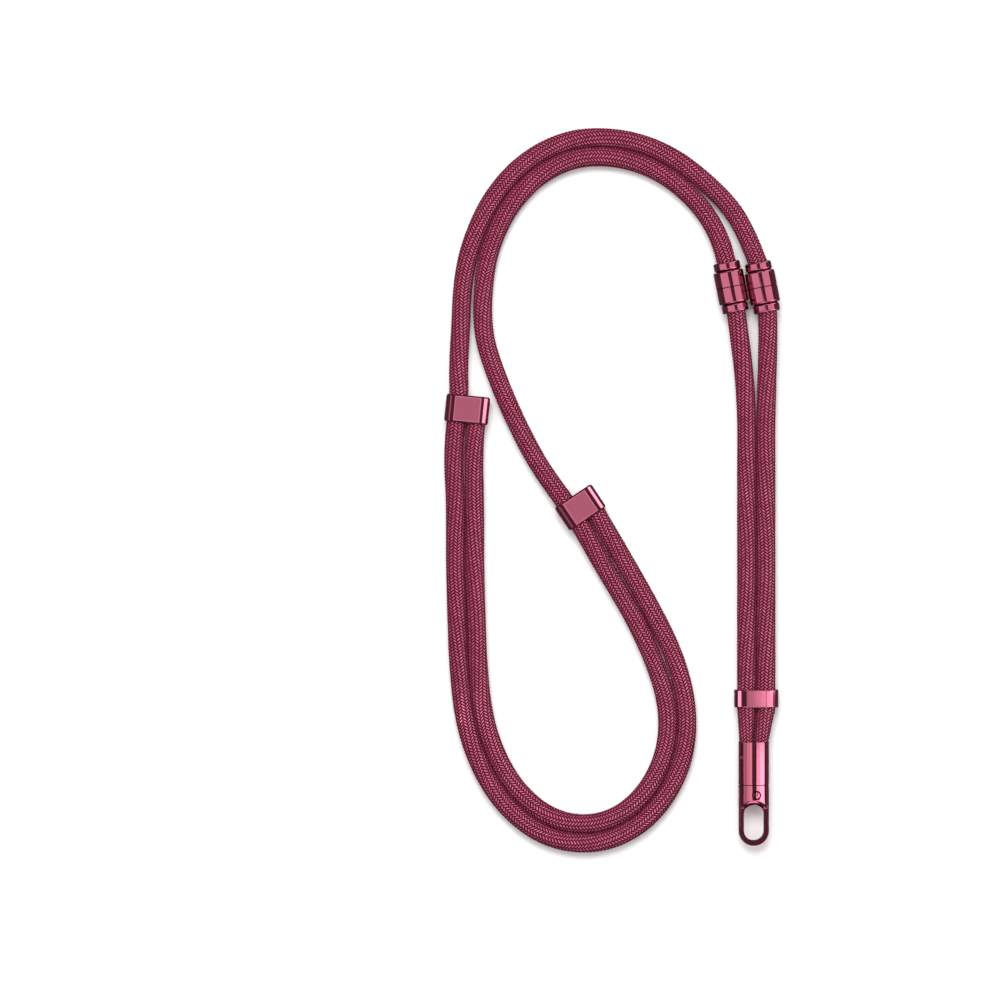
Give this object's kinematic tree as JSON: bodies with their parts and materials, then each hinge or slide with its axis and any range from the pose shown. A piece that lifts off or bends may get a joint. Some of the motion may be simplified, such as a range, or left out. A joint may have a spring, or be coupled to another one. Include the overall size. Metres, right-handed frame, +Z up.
{
  "type": "phone crossbody strap",
  "caption": "Crossbody strap for a phone: paired braided ropes with length sliders, barrel clasps, a keeper band and a swivel spring hook, lying flat in a long loop.",
  "frame": {"origin": "on the surface that the strap lies on, under the middle of the box round its hard pieces", "axes": "+Z up from the surface, +Y along the strap from the hook's tip to the clasps, +X towards the side with the hook"},
  "size_m": [0.1399, 0.3004, 0.0126],
  "materials": {
    "braided_rope": "round braid of glossy synthetic yarn, wine pink",
    "lacquered_metal": "polished die-cast metal under a clear tinted rose-pink lacquer"
  },
  "bodies": {
    "strap": {"rope_outer_long": "braided_rope", "rope_inner_long": "braided_rope", "rope_outer_short": "braided_rope", "rope_inner_short": "braided_rope", "outer_clasp_top": "lacquered_metal", "outer_clasp_base": "lacquered_metal", "inner_clasp_top": "lacquered_metal", "inner_clasp_base": "lacquered_metal", "slider_left": "lacquered_metal", "slider_right": "lacquered_metal", "end_cap": "lacquered_metal", "set_screw": "lacquered_metal"},
    "keeper": {"keeper": "lacquered_metal"},
    "hook": {"hook": "lacquered_metal", "gate_pin": "lacquered_metal"},
    "gate": {"gate": "lacquered_metal"}
  },
  "joints": [
    {"name": "hook_swivel", "type": "hinge", "parent": "strap", "child": "hook", "pos_m": [0.05873, -0.09628, 0.0063], "axis": [0, 1, 0], "continuous": true},
    {"name": "gate_hinge", "type": "hinge", "parent": "hook", "child": "gate", "pos_m": [0.05963, -0.10023, 0.0063], "axis": [0, 0, 1], "range_deg": [0, 24], "stiffness_Nm_per_rad": 0.01, "springref_deg": -34.38},
    {"name": "keeper_slide", "type": "slide", "parent": "strap", "child": "keeper", "axis": [0, 1, 0], "range_m": [0, 0.105]}
  ]
}
